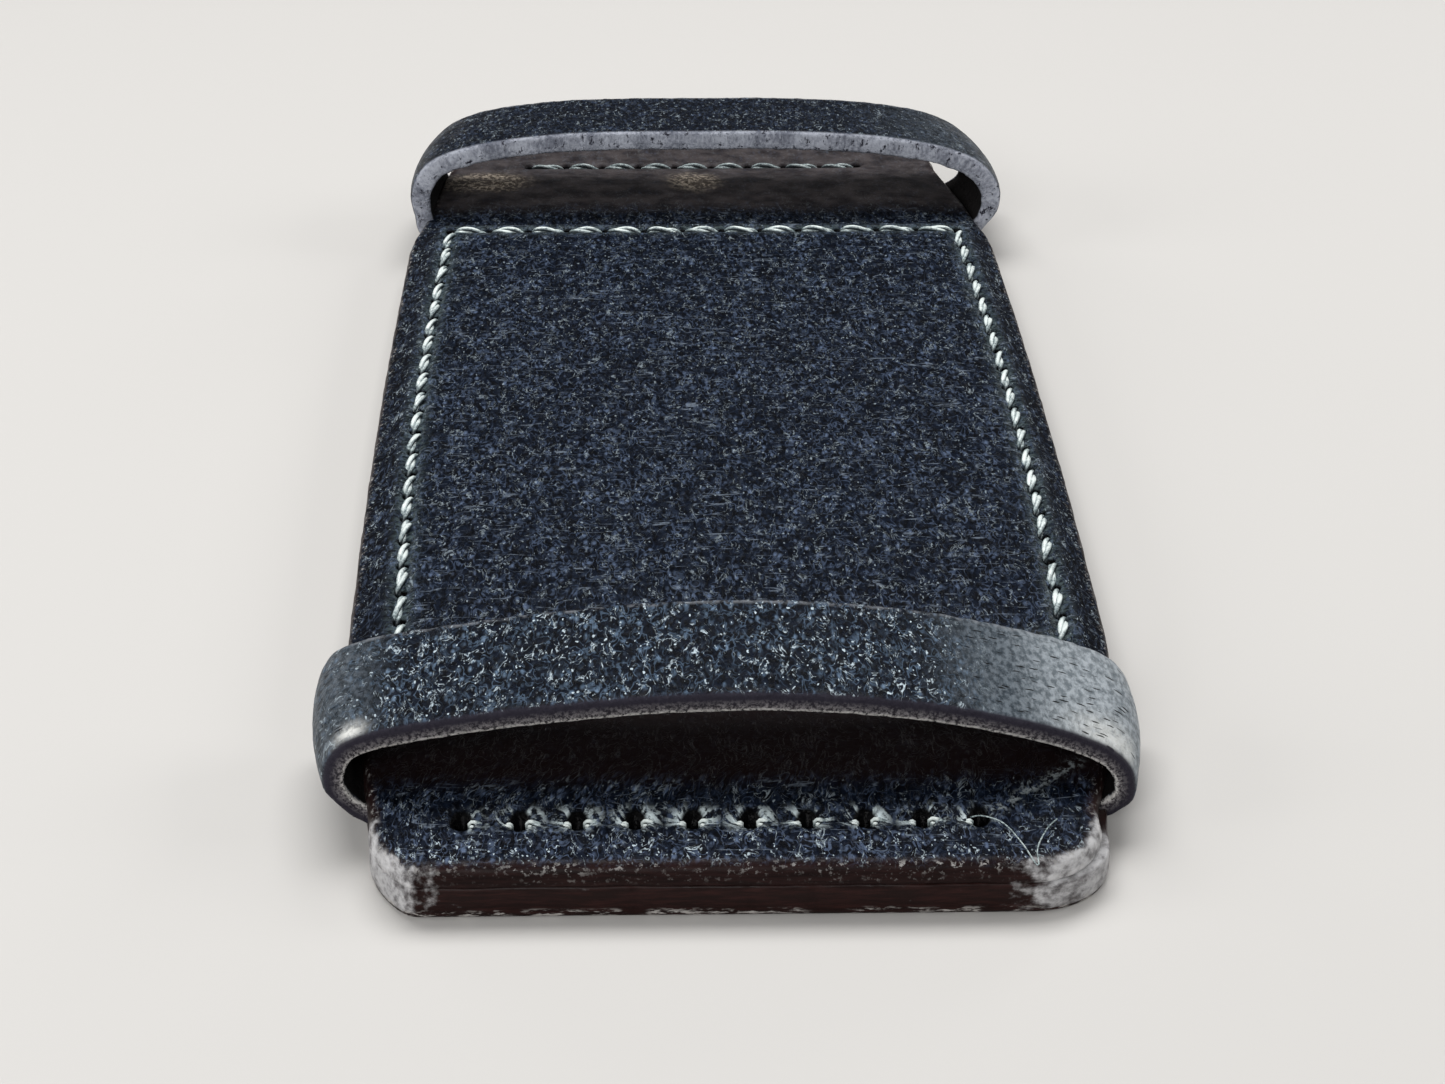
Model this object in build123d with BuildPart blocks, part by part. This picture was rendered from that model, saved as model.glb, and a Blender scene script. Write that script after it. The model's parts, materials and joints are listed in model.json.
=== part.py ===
from build123d import *
import os
from math import asin, atan, cos, degrees, radians, sin

# Leather shoulder pad of a camera case's carrying strap.
# A padded body of two leathers lies flat, and an arched leather keeper crosses each end.
# The strap slides lengthwise under both keepers.
# X is across the pad, Y runs along it and Z is up.  The origin is under its centre.

os.makedirs("parts", exist_ok=True)

# ---- driving dimensions, millimetres ----
pad_length = 102.0
pad_end_width = 45.2  # where the straight tapers start
pad_bulge = 0.35  # how far each long side bows out at mid-length
taper_start = 29.0  # distance from the centre to the tapers
tongue_width = 40.0
tongue_corner_radius = 4.2
tongue_taper_end = 46.0

base_thickness = 2.0
cover_thickness = 1.3
felt_thickness = 1.0
arris_radius = 0.35

panel_seam_width = 39.0
panel_seam_length = 60.0
panel_seam_bulge = 0.7
end_seam_from_centre = 46.6
stitch_pitch = 3.0
stitch_length = 2.3
panel_stitches_across = 13
panel_stitches_along = 20
end_seam_stitches = 9

thread_width = 0.6
thread_proud = 0.1
groove_width = 0.8
groove_depth = 0.35

felt_margin = 1.1  # felt and raised panel run this far outside the seam
panel_rim = 0.7  # raised cover runs this far outside the felt
panel_slope = 38.0  # degrees from upright, sides of the raised panel

band_width = 9.5
band_thickness = 1.25
keeper_from_centre = 39.5
keeper_side_x = 22.875  # middle of the band's thickness, at its sides
keeper_crown_z = 9.5  # top of the band at mid-width
shoulder_x = 20.8
shoulder_z = 6.35
shoulder_bend_z = 3.75
tail_bend_x = 21.75
tail_top_z = 3.15
lap_half_length = 6.0
lap_stitches = 3
channel_clearance = 0.15

hinge_z = 3.6
rocker_radius = 9.5  # underside of each keeper foot
near_lean = 2.0  # degrees, positive leans the crown towards -Y
far_lean = -4.3

# ---- levels and sizes worked out from them ----
cover_top = base_thickness + cover_thickness
panel_top = cover_top + felt_thickness
channel_floor = base_thickness - band_thickness
groove_half = groove_width / 2
half_length = pad_length / 2
reach = pad_length  # longer than any cut needs

ends = {"near": -1, "far": 1}


def pad_outline():
    """The outline shared by base and cover: bowed sides, tapered shoulders, rounded tongues."""
    side_x = pad_end_width / 2
    tongue_x = tongue_width / 2
    with BuildSketch() as outline:
        with BuildLine():
            right = ThreePointArc(
                (side_x, -taper_start), (side_x + pad_bulge, 0), (side_x, taper_start)
            )
            left = ThreePointArc(
                (-side_x, taper_start), (-side_x - pad_bulge, 0), (-side_x, -taper_start)
            )
            Polyline(
                right @ 1,
                (tongue_x, tongue_taper_end),
                (tongue_x, half_length),
                (-tongue_x, half_length),
                (-tongue_x, tongue_taper_end),
                left @ 0,
            )
            Polyline(
                left @ 1,
                (-tongue_x, -tongue_taper_end),
                (-tongue_x, -half_length),
                (tongue_x, -half_length),
                (tongue_x, -tongue_taper_end),
                right @ 0,
            )
        make_face()
        tongue_corners = outline.vertices().filter_by(lambda v: abs(v.Y) > half_length - 0.01)
        fillet(tongue_corners, radius=tongue_corner_radius)
    return outline.sketch


def barrel(margin):
    """The panel seam's outline, grown by a margin: square ends and slightly bowed sides."""
    x = panel_seam_width / 2 + margin
    y = panel_seam_length / 2 + margin
    with BuildSketch() as outline:
        with BuildLine():
            right = ThreePointArc((x, -y), (x + panel_seam_bulge, 0), (x, y))
            left = ThreePointArc((-x, y), (-x - panel_seam_bulge, 0), (-x, -y))
            Line(right @ 1, left @ 0)
            Line(left @ 1, right @ 0)
        make_face()
    return outline.sketch


def panel_stitch_spots():
    """Place and direction of every stitch round the panel seam."""
    half_seam = panel_seam_length / 2
    spots = []
    for number in range(panel_stitches_across):
        x = (number - (panel_stitches_across - 1) / 2) * stitch_pitch
        spots.append(Location((x, half_seam, 0)))
        spots.append(Location((x, -half_seam, 0)))
    for number in range(panel_stitches_along):
        y = (number - (panel_stitches_along - 1) / 2) * stitch_pitch
        bow = panel_seam_bulge * (1 - (y / half_seam) ** 2)
        x = panel_seam_width / 2 + bow
        turn = degrees(atan(2 * panel_seam_bulge * y / half_seam**2))
        spots.append(Location((x, y, 0), (0, 0, 90 + turn)))
        spots.append(Location((-x, y, 0), (0, 0, 90 - turn)))
    return spots


def end_stitch_spots(direction):
    """Place of every stitch in the short seam across one tongue."""
    spots = []
    for number in range(end_seam_stitches):
        x = (number - (end_seam_stitches - 1) / 2) * stitch_pitch
        spots.append(Location((x, direction * end_seam_from_centre, 0)))
    return spots


def panel_groove():
    """Plan of the groove round the stitched panel."""
    with BuildSketch() as plan:
        add(barrel(groove_half))
        add(barrel(-groove_half), mode=Mode.SUBTRACT)
    return plan.sketch


def end_grooves():
    """Plan of the two short grooves across the tongues."""
    with BuildSketch() as plan:
        with Locations((0, end_seam_from_centre), (0, -end_seam_from_centre)):
            SlotOverall(end_seam_stitches * stitch_pitch + groove_width, groove_width)
    return plan.sketch


def stitches(spots):
    """Plan of one row of stitches, each a short round-ended bar."""
    with BuildSketch() as plan:
        with Locations(*spots):
            SlotOverall(stitch_length, thread_width)
    return plan.sketch


# ---- base leather: flat underneath, with a skived channel for each keeper's tails ----
with BuildPart() as base_panel:
    with BuildSketch(Plane.XY):
        add(pad_outline())
    extrude(amount=base_thickness)
    with BuildSketch(Plane.XY.offset(channel_floor)):
        with Locations((0, keeper_from_centre), (0, -keeper_from_centre)):
            Rectangle(reach, band_width + 2 * channel_clearance)
    extrude(amount=band_thickness, mode=Mode.SUBTRACT)
    with BuildSketch(Plane.XY):
        add(panel_groove())
        add(end_grooves())
    extrude(amount=groove_depth, mode=Mode.SUBTRACT)
base_panel.part.label = "base_panel"
export_step(base_panel.part, "parts/base_panel.step")

# ---- felt padding between the leathers, under the stitched panel ----
with BuildPart() as felt_pad:
    with BuildSketch(Plane.XY.offset(base_thickness)):
        add(barrel(felt_margin))
    extrude(amount=felt_thickness, taper=panel_slope)
felt_pad.part.label = "felt_pad"
export_step(felt_pad.part, "parts/felt_pad.step")

# ---- top leather, raised over the felt ----
with BuildPart() as top_cover:
    with BuildSketch(Plane.XY.offset(base_thickness)):
        add(pad_outline())
    extrude(amount=cover_thickness)
    fillet(top_cover.faces().sort_by(Axis.Z)[-1].edges(), radius=arris_radius)
    with BuildSketch(Plane.XY.offset(cover_top)):
        add(barrel(felt_margin + panel_rim))
    extrude(amount=felt_thickness, taper=panel_slope)
    with BuildSketch(Plane.XY.offset(base_thickness)):
        add(barrel(felt_margin))
    extrude(amount=felt_thickness, taper=panel_slope, mode=Mode.SUBTRACT)
    with BuildSketch(Plane.XY.offset(panel_top)):
        add(panel_groove())
    extrude(amount=-groove_depth, mode=Mode.SUBTRACT)
    with BuildSketch(Plane.XY.offset(cover_top)):
        add(end_grooves())
    extrude(amount=-groove_depth, mode=Mode.SUBTRACT)
top_cover.part.label = "top_cover"
export_step(top_cover.part, "parts/top_cover.step")

# ---- seams: needle thread in the grooves on top, shuttle thread in those underneath ----
seams = {
    "panel_seam": (panel_stitch_spots(), panel_top),
    "near_end": (end_stitch_spots(-1), cover_top),
    "far_end": (end_stitch_spots(1), cover_top),
}

for seam, (spots, surface) in seams.items():
    with BuildPart() as needle_thread:
        with BuildSketch(Plane.XY.offset(surface - groove_depth)):
            add(stitches(spots))
        extrude(amount=groove_depth + thread_proud)
    needle_thread.part.label = f"{seam}_needle_thread"
    export_step(needle_thread.part, f"parts/{seam}_needle_thread.step")

    with BuildPart() as shuttle_thread:
        with BuildSketch(Plane.XY.offset(thread_proud)):
            add(stitches(spots))
        extrude(amount=groove_depth - thread_proud)
    shuttle_thread.part.label = f"{seam}_shuttle_thread"
    export_step(shuttle_thread.part, f"parts/{seam}_shuttle_thread.step")

# ---- keeper tails: the band's two ends, lapped in the channel and turned up at the sides ----
tail_outer_radius = keeper_side_x + band_thickness / 2 - tail_bend_x
tail_inner_radius = tail_outer_radius - band_thickness
tail_ceiling = channel_floor + band_thickness
lap_middle = channel_floor + band_thickness / 2
bend_centre_z = channel_floor + tail_outer_radius
outer_x = tail_bend_x + tail_outer_radius
inner_x = tail_bend_x + tail_inner_radius


def tail_profile(side):
    """One tail seen along Y: flat, skived at the lap, bent up at the pad's side."""
    bend_low = (side * tail_bend_x, channel_floor)
    bend_side = (side * outer_x, bend_centre_z)
    bend_inside = (side * inner_x, bend_centre_z)
    bend_high = (side * tail_bend_x, tail_ceiling)
    centre = Vector(side * tail_bend_x, bend_centre_z)
    diagonal = Vector(side, -1).normalized()
    with BuildSketch() as profile:
        with BuildLine():
            Line((-lap_half_length, channel_floor), bend_low)
            ThreePointArc(bend_low, centre + diagonal * tail_outer_radius, bend_side)
            Polyline(
                bend_side,
                (side * outer_x, tail_top_z),
                (side * inner_x, tail_top_z),
                bend_inside,
            )
            ThreePointArc(bend_inside, centre + diagonal * tail_inner_radius, bend_high)
            Polyline(
                bend_high,
                (lap_half_length, tail_ceiling),
                (lap_half_length, lap_middle),
                (-lap_half_length, lap_middle),
                (-lap_half_length, channel_floor),
            )
        make_face()
    return profile.sketch


def lap_stitches_plan():
    """Plan of the stitches that close the lap, in a row along the band's width."""
    with BuildSketch() as plan:
        with GridLocations(0, stitch_pitch, 1, lap_stitches):
            SlotOverall(stitch_length, thread_width, rotation=90)
    return plan.sketch


for end, direction in ends.items():
    middle_y = direction * keeper_from_centre

    with BuildPart() as right_tail:
        with BuildSketch(Plane.XZ.offset(-middle_y)):
            add(tail_profile(1))
        extrude(amount=band_width / 2, both=True)
    right_tail.part.label = f"{end}_keeper_right_tail"
    export_step(right_tail.part, f"parts/{end}_keeper_right_tail.step")

    with BuildPart() as left_tail:
        with BuildSketch(Plane.XZ.offset(-middle_y)):
            add(tail_profile(-1))
        extrude(amount=band_width / 2, both=True)
        with BuildSketch(Plane((0, middle_y, tail_ceiling))):
            add(lap_stitches_plan())
        extrude(amount=-band_thickness / 4, mode=Mode.SUBTRACT)
    left_tail.part.label = f"{end}_keeper_left_tail"
    export_step(left_tail.part, f"parts/{end}_keeper_left_tail.step")

    with BuildPart() as lap_thread:
        with BuildSketch(Plane((0, middle_y, tail_ceiling))):
            add(lap_stitches_plan())
        extrude(amount=-band_thickness / 4)
    lap_thread.part.label = f"{end}_keeper_lap_thread"
    export_step(lap_thread.part, f"parts/{end}_keeper_lap_thread.step")

# ---- keeper arches: each stands on its tails and leans about a line across the pad ----
def arch_profile():
    """The arch seen along the pad, measured up from its hinge line."""
    crown_z = keeper_crown_z - band_thickness / 2 - hinge_z
    drop = keeper_crown_z - band_thickness / 2 - shoulder_z
    crown_radius = (shoulder_x**2 + drop**2) / (2 * drop)
    slope = asin(shoulder_x / crown_radius)
    bend_z = shoulder_bend_z - hinge_z
    with BuildSketch() as profile:
        with BuildLine():
            for grow in (band_thickness / 2, -band_thickness / 2):
                skin_x = shoulder_x + grow * sin(slope)
                skin_z = shoulder_z - hinge_z + grow * cos(slope)
                foot_x = keeper_side_x + grow
                top = ThreePointArc((-skin_x, skin_z), (0, crown_z + grow), (skin_x, skin_z))
                TangentArc(top @ 1, (foot_x, bend_z), tangent=top % 1)
                TangentArc(top @ 0, (-foot_x, bend_z), tangent=-(top % 0))
                Line((foot_x, bend_z), (foot_x, 0))
                Line((-foot_x, bend_z), (-foot_x, 0))
            for side in (-1, 1):
                foot_inside = side * (keeper_side_x - band_thickness / 2)
                foot_outside = side * (keeper_side_x + band_thickness / 2)
                Line((foot_inside, 0), (foot_outside, 0))
        make_face()
    return profile.sketch


leans = {"near": near_lean, "far": far_lean}

for end, direction in ends.items():
    lean = radians(leans[end])
    hinge_point = (0, direction * keeper_from_centre, hinge_z)
    across = Plane(hinge_point, x_dir=(1, 0, 0), z_dir=(0, -cos(lean), -sin(lean)))
    along = Plane(hinge_point, x_dir=(0, cos(lean), sin(lean)), z_dir=(1, 0, 0))

    with BuildPart() as arch:
        with BuildSketch(across):
            add(arch_profile())
        extrude(amount=band_width / 2, both=True)
        with BuildSketch(along):
            Rectangle(2 * band_width, 2 * band_thickness)
            with Locations((0, rocker_radius)):
                Circle(rocker_radius, mode=Mode.SUBTRACT)
        extrude(amount=reach, both=True, mode=Mode.SUBTRACT)
    arch.part.label = f"{end}_keeper_arch"
    export_step(arch.part, f"parts/{end}_keeper_arch.step")
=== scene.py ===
import json
import math
import random

import bmesh
import bpy
import numpy as np
from mathutils import Matrix, Vector, noise


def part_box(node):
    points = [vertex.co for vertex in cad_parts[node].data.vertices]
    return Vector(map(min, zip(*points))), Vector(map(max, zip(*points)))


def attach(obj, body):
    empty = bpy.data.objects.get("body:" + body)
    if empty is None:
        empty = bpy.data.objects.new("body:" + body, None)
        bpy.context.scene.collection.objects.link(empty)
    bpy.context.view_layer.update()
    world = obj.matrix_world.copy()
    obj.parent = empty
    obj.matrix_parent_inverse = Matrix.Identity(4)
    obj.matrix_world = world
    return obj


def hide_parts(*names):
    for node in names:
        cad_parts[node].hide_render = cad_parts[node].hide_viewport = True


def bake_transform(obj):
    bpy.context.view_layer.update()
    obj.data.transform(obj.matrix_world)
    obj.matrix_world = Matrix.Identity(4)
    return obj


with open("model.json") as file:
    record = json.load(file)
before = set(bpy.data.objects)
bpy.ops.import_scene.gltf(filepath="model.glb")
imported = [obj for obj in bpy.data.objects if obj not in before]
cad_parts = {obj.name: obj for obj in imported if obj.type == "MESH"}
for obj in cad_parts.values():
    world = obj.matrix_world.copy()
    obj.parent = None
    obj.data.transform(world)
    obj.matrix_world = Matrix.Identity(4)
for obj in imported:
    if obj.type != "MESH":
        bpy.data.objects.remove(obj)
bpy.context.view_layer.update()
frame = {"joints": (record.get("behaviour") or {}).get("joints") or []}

# Shapes are worked out in millimetres in the CAD model's frame, and made in metres.
MM = 0.001
SEED = 7


def corners_of(node):
    """The low and high corners of a CAD node's box, in millimetres."""
    return [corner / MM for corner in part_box(node)]


# ---- sizes read from the frame, in millimetres
pad_high = corners_of("base_panel")[1]
cover_high = corners_of("top_cover")[1]
tail_low, tail_high = corners_of("near_keeper_right_tail")
felt_low, felt_high = corners_of("felt_pad")
hinges = {joint["child"]: Vector(joint["pos_m"]) / MM for joint in frame["joints"]}

HALF_LENGTH = pad_high.y
HALF_WIDTH = pad_high.x
LAYER_Z = pad_high.z
PANEL_Z = cover_high.z
FELT_RISE = felt_high.z - felt_low.z
COVER_THICKNESS = PANEL_Z - LAYER_Z - FELT_RISE
COVER_Z = LAYER_Z + COVER_THICKNESS
CHANNEL_Z = tail_low.z
BAND_WIDTH = tail_high.y - tail_low.y
BAND_THICKNESS = LAYER_Z - CHANNEL_Z
KEEPER_Y = -(tail_low.y + tail_high.y) / 2

# ---- sizes that the CAD model was drawn with
TAPER_START = 29.0
TAPER_END = 46.0
SIDE_BOW = 0.35
TONGUE_HALF_WIDTH = 20.0
TONGUE_RADIUS = 4.2
SEAM_HALF_WIDTH = 19.5
SEAM_BOW = 0.7
SEAM_HALF_LENGTH = 30.0
PITCH = 3.0
SIDE_STITCHES = 20
CROSS_STITCHES = 13
END_STITCHES = 9
END_SEAM_Y = 46.6
CHANNEL_HALF = BAND_WIDTH / 2 + 0.15


# ---- small helpers

def smoothstep(low, high, value):
    t = np.clip((value - low) / (high - low), 0.0, 1.0)
    return t * t * (3 - 2 * t)


def plateau(value, rise, top, brink, foot):
    """Rises from 0 to 1 between rise and top, and falls again between brink and foot."""
    return smoothstep(rise, top, value) * (1 - smoothstep(brink, foot, value))


def bell(value, width):
    return np.exp(-((value / width) ** 2))


def unit(vectors):
    return vectors / np.linalg.norm(vectors, axis=1)[:, None]


def wobble(points, scale, offset=0.0, octaves=3):
    """Smooth noise from about -1 to 1 at each point, with features about 1/scale mm across."""
    points = np.asarray(points, float)
    shift = Vector((offset, offset * 1.7, offset * 0.6))
    values = [
        noise.fractal(Vector(p) * scale + shift, 1.0, 2.0, octaves) for p in points.reshape(-1, 3)
    ]
    return np.array(values).reshape(points.shape[:-1])


def face_outward(mesh):
    """Turns every face of a closed mesh to point outwards."""
    shape = bmesh.new()
    shape.from_mesh(mesh)
    bmesh.ops.recalc_face_normals(shape, faces=shape.faces)
    shape.to_mesh(mesh)
    shape.free()


def new_mesh(name, points, faces, attributes=None, closed=True):
    """A mesh object from millimetre points, with named float or vector values on its points."""
    mesh = bpy.data.meshes.new(name)
    mesh.from_pydata((np.asarray(points, float) * MM).tolist(), [], faces)
    mesh.validate()
    for key, values in (attributes or {}).items():
        values = np.asarray(values, np.float32)
        kind, field = ("FLOAT_VECTOR", "vector") if values.ndim == 2 else ("FLOAT", "value")
        attribute = mesh.attributes.new(key, kind, "POINT")
        attribute.data.foreach_set(field, values.ravel())
    if closed:
        mesh.shade_smooth()
        face_outward(mesh)
    obj = bpy.data.objects.new(name, mesh)
    bpy.context.scene.collection.objects.link(obj)
    return obj


def add_piece(obj, material, node):
    """Gives one of the pad's own pieces its material, fixes it to the pad, and hides the CAD part
    it stands for.
    """
    obj.data.materials.append(material)
    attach(obj, "pad")
    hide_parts(node)


# ---- the pad's plan

def half_width(y):
    """Half the pad's width at each distance along it: bowed sides, tapers, rounded tongues."""
    y = np.abs(np.asarray(y, float))
    side = HALF_WIDTH - SIDE_BOW * (y / TAPER_START) ** 2
    start = HALF_WIDTH - SIDE_BOW
    along = np.clip((y - TAPER_START) / (TAPER_END - TAPER_START), 0, 1)
    taper = start + (TONGUE_HALF_WIDTH - start) * along
    corner = np.clip(y - (HALF_LENGTH - TONGUE_RADIUS), 0, TONGUE_RADIUS)
    tongue = TONGUE_HALF_WIDTH - TONGUE_RADIUS + np.sqrt(TONGUE_RADIUS**2 - corner**2)
    return np.where(y < TAPER_START, side, np.where(y < TAPER_END, taper, tongue))


def edge_distance(x, y):
    """How far a point of the plan is inside the outline."""
    corner_x = np.abs(x) - (TONGUE_HALF_WIDTH - TONGUE_RADIUS)
    corner_y = np.abs(y) - (HALF_LENGTH - TONGUE_RADIUS)
    straight = np.minimum(HALF_LENGTH - np.abs(y), half_width(y) - np.abs(x))
    rounded = TONGUE_RADIUS - np.hypot(corner_x, corner_y)
    return np.where((corner_x > 0) & (corner_y > 0), rounded, straight)


def seam_half_width(y):
    return SEAM_HALF_WIDTH + SEAM_BOW * (1 - (y / SEAM_HALF_LENGTH) ** 2)


def seam_distance(x, y):
    """How far a point of the plan is outside the panel seam, negative inside it."""
    side = np.abs(x) - seam_half_width(np.clip(y, -SEAM_HALF_LENGTH, SEAM_HALF_LENGTH))
    end = np.abs(y) - SEAM_HALF_LENGTH
    both = (side > 0) & (end > 0)
    return np.where(both, np.hypot(side, end), np.maximum(side, end))


def panel_holes():
    """Every stitch hole of the panel seam, once, in order round it."""
    holes = []
    across = [(i - CROSS_STITCHES / 2) * PITCH for i in range(CROSS_STITCHES + 1)]
    along = [(i - SIDE_STITCHES / 2) * PITCH for i in range(SIDE_STITCHES + 1)]
    holes += [(x, -SEAM_HALF_LENGTH) for x in across]
    holes += [(seam_half_width(y), y) for y in along[1:-1]]
    holes += [(x, SEAM_HALF_LENGTH) for x in reversed(across)]
    holes += [(-seam_half_width(y), y) for y in reversed(along[1:-1])]
    return holes


def end_holes(direction):
    """The stitch holes of the short seam across one tongue."""
    return [
        ((i - END_STITCHES / 2) * PITCH, direction * END_SEAM_Y) for i in range(END_STITCHES + 1)
    ]


PANEL_HOLE_RADIUS = 0.3
END_HOLE_RADIUS = 0.45
END_HOLE_SQUASH = 0.66  # an awl's slit is longer across the seam than along it
HOLES = [(x, y, PANEL_HOLE_RADIUS, 1.0) for x, y in panel_holes() + end_holes(1)]
HOLES += [(x, y, END_HOLE_RADIUS, END_HOLE_SQUASH) for x, y in end_holes(-1)]


def hole_depth(x, y, grow=1.0):
    """From 0 to 1, how deep in a stitch hole each point of the plan is."""
    deep = np.zeros_like(x)
    for hole_x, hole_y, radius, squash in HOLES:
        near = np.hypot(x - hole_x, squash * (y - hole_y))
        deep = np.maximum(deep, bell(near, radius * grow))
    return deep


def as_sewn(points, cover=False):
    """Moves drawn points to where the hand-cut and hand-sewn pad has them."""
    points = np.array(points, float)
    x, y = points[..., 0].copy(), points[..., 1].copy()
    near = smoothstep(41.0, 45.5, -y)
    middle = 1 - smoothstep(14.5, 20.0, np.abs(x))
    points[..., 0] += near * middle * (NEAR_STRETCH * x - NEAR_SEAM_SHIFT)
    points[..., 0] += LEFT_CORNER_TRIM * smoothstep(13.0, 20.0, -x) * smoothstep(46.5, 51.0, -y)
    points[..., 1] -= near * (NEAR_PUSH + NEAR_SKEW * smoothstep(-20.0, 20.0, x))
    on_panel = 1 - smoothstep(31.0, 35.0, np.abs(y))
    points[..., 0] += RIGHT_SEAM_SHIFT * plateau(x, 10.0, 19.0, 20.5, 22.5) * on_panel
    points[..., 1] += FAR_SEAM_SHIFT * plateau(y, 18.0, 30.0, 30.5, 35.0)
    points[..., 1] -= NEAR_SEAM_DROP * plateau(-y, 20.0, 30.0, 30.5, 34.5)
    points[..., 1] -= FAR_END_SHIFT * plateau(y, 42.0, 45.5, 47.5, 50.5)
    points[..., 0] -= FAR_TONGUE_SHIFT * smoothstep(37.0, 44.0, y)
    if cover:
        points[..., 0] -= NEAR_CORNER_TRIM * smoothstep(12.0, 19.5, x) * near
    return points


NEAR_STRETCH = 0.036
NEAR_SEAM_SHIFT = 1.05
LEFT_CORNER_TRIM = 0.2
NEAR_PUSH = 0.3
NEAR_SKEW = 0.2
NEAR_CORNER_TRIM = 0.55
RIGHT_SEAM_SHIFT = 0.3
FAR_SEAM_SHIFT = 0.6
NEAR_SEAM_DROP = 0.7
FAR_END_SHIFT = 0.65
FAR_TONGUE_SHIFT = 0.35


# ---- plan grid and shells

HOLE_OFFSETS = (0.0, 0.13, 0.27, 0.45, 0.75)


def merged(values, gap=0.07):
    """Sorted grid lines with any that nearly coincide dropped."""
    kept = []
    for value in sorted(values):
        if not kept or value - kept[-1] > gap:
            kept.append(value)
    return kept


def half_rows():
    """Grid rows from the middle to the far end, close together where stitches and edges are."""
    rows = [0.0]
    for hole in np.arange(0, SEAM_HALF_LENGTH + 0.1, PITCH):
        for offset in HOLE_OFFSETS:
            rows += [hole + offset, abs(hole - offset)]
        rows.append(hole + PITCH / 2)
    rows += [*np.arange(SEAM_HALF_LENGTH + 1.1, END_SEAM_Y - 0.8, 0.36)]
    rows += [END_SEAM_Y + side * offset for side in (-1, 1) for offset in HOLE_OFFSETS]
    for edge in (KEEPER_Y - CHANNEL_HALF, KEEPER_Y + CHANNEL_HALF):
        rows += [edge - 0.04, edge + 0.04]
    corner = HALF_LENGTH - TONGUE_RADIUS
    turns = np.radians(np.arange(4, 90, 5.7))
    rows += [y for y in corner + TONGUE_RADIUS * np.sin(turns) if y > END_SEAM_Y + 0.8]
    rows.append(HALF_LENGTH)
    return merged(rows, 0.03)


def half_columns():
    """Grid columns from the middle to the outline, as they lie at mid-length."""
    columns = []
    for hole in np.arange(PITCH / 2, SEAM_HALF_WIDTH - 1.0, PITCH):
        for offset in HOLE_OFFSETS:
            columns += [hole + offset, hole - offset]
        columns.append(hole + PITCH / 2)
    columns += [*np.arange(SEAM_HALF_WIDTH - 0.9, SEAM_HALF_WIDTH + 1.5, 0.14)]
    columns += [*np.arange(SEAM_HALF_WIDTH + 1.6, HALF_WIDTH - 0.5, 0.3)]
    columns += [HALF_WIDTH - inset for inset in (0.45, 0.3, 0.18, 0.08, 0.0)]
    return merged([c for c in columns if c > 0.2])


STRAIGHT_COLUMNS = 15.4  # columns further out follow the outline


def plan_grid():
    """Grid of plan points: straight columns in the middle, the outer ones following the outline."""
    rows = half_rows()
    rows = np.array([-y for y in reversed(rows[1:])] + rows)
    columns = half_columns()
    columns = np.array([-c for c in reversed(columns)] + [0.0] + columns)
    width = half_width(rows)[:, None]
    outer = (np.abs(columns) - STRAIGHT_COLUMNS) / (HALF_WIDTH - STRAIGHT_COLUMNS)
    spread = STRAIGHT_COLUMNS + np.clip(outer, 0, 1)[None, :] * (width - STRAIGHT_COLUMNS)
    x = np.where(np.abs(columns) < STRAIGHT_COLUMNS, columns, np.sign(columns) * spread)
    y = np.repeat(rows[:, None], len(columns), axis=1)
    return x, y


def border_of(shape):
    """Indices of a grid's border: along the near row, up the right side, back and down."""
    rows, columns = shape
    index = np.arange(rows * columns).reshape(rows, columns)
    sides = [index[0, :-1], index[:-1, -1], index[-1, :0:-1], index[:0:-1, 0]]
    return np.concatenate(sides)


def quads(*corners):
    """Four-cornered faces, from the indices of each of their corners."""
    return np.stack([corner.ravel() for corner in corners], axis=1).tolist()


def grid_faces(shape):
    rows, columns = shape
    index = np.arange(rows * columns).reshape(rows, columns)
    return quads(index[:-1, :-1], index[:-1, 1:], index[1:, 1:], index[1:, :-1])


def outward(border):
    """Unit directions out of a closed border of plan points."""
    ahead = np.roll(border, -1, axis=0) - np.roll(border, 1, axis=0)
    return unit(np.stack([ahead[:, 1], -ahead[:, 0]], axis=1))


def ring_faces(first, second):
    return quads(first, second, np.roll(second, -1), np.roll(first, -1))


def ladder_faces(ring, shape):
    """Closes a border ring with faces that reach across from one side to the other."""
    rows, columns = shape
    right = ring[columns - 1 : columns + rows - 1].tolist()
    left = [int(ring[0])] + ring[: -rows : -1].tolist()
    near = ring[:columns].tolist()
    far = ring[columns + rows - 2 : 2 * columns + rows - 2].tolist()
    faces = [near + [right[1], left[1]]]
    for row in range(1, rows - 2):
        faces.append([left[row], right[row], right[row + 1], left[row + 1]])
    faces.append([left[rows - 2], right[rows - 2]] + far)
    return faces


def at_level(plan_points, z):
    return np.column_stack([plan_points, np.broadcast_to(z, len(plan_points))])


def shell(name, top, rings, attributes, cover=False):
    """A closed solid: a detailed grid, walls through border rings, and a ladder that closes it."""
    shape = top.shape[:2]
    points = [top.reshape(-1, 3)]
    faces = grid_faces(shape)
    ring = border_of(shape)
    values = {key: [grid.ravel()] for key, (grid, _) in attributes.items()}
    count = len(points[0])
    for number, ring_points in enumerate(rings):
        points.append(ring_points)
        following = np.arange(count, count + len(ring_points))
        faces += ring_faces(ring, following)
        count += len(ring_points)
        ring = following
        for key, (_, walls) in attributes.items():
            wall = walls[number] if isinstance(walls, list) else walls
            values[key].append(np.broadcast_to(wall, len(ring_points)))
    faces += ladder_faces(ring, shape)
    points = np.concatenate(points)
    found = {key: np.concatenate(parts) for key, parts in values.items()}
    found["rest"] = points
    return new_mesh(name, as_sewn(points, cover), faces, found)


# ---- the pad's surfaces

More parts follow.
